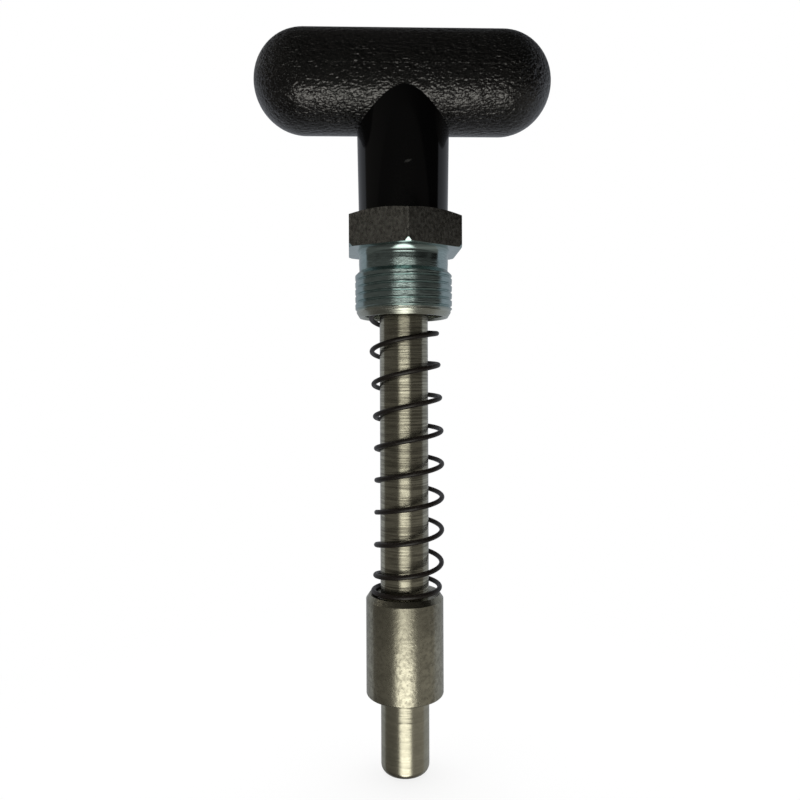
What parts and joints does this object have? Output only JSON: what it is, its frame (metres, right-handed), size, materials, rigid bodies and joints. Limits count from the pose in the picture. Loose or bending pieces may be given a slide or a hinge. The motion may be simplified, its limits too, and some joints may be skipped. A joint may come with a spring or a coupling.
{
  "type": "indexing plunger",
  "caption": "Indexing plunger: a T handle pulls a collared locating pin back against its spring, through a hex bush with a fine mounting thread.",
  "frame": {"origin": "on the pin's axis, in the middle of the mounting thread", "axes": "+Z along the pin towards the T handle, X along the crossbar, -Z the way the nose comes out"},
  "size_m": [0.0612, 0.026, 0.1528],
  "materials": {
    "zinc_plated_steel": "bluish bright zinc plate on a turned hexagon bar",
    "turned_steel": "bare steel, turned shaft with fine rings, drawn bar surface on the collar",
    "brass": "turned brass",
    "black_plastic": "black plastic, leather grain on the crossbar, smooth stem",
    "spring_steel": "dark drawn spring wire"
  },
  "bodies": {
    "bush": {"bush": "zinc_plated_steel"},
    "spring": {"spring": "spring_steel"},
    "pin": {"pin": "turned_steel", "handle_insert": "brass", "handle": "black_plastic"}
  },
  "joints": [
    {"name": "swivel", "type": "hinge", "parent": "bush", "child": "spring", "pos_m": [0, 0, 0], "axis": [0, 0, 1], "continuous": true},
    {"name": "pull", "type": "slide", "parent": "spring", "child": "pin", "axis": [0, 0, 1], "range_m": [0, 0.0564], "stiffness_N_per_m": 370, "springref_m": -0.01, "deforming": ["spring"]}
  ]
}
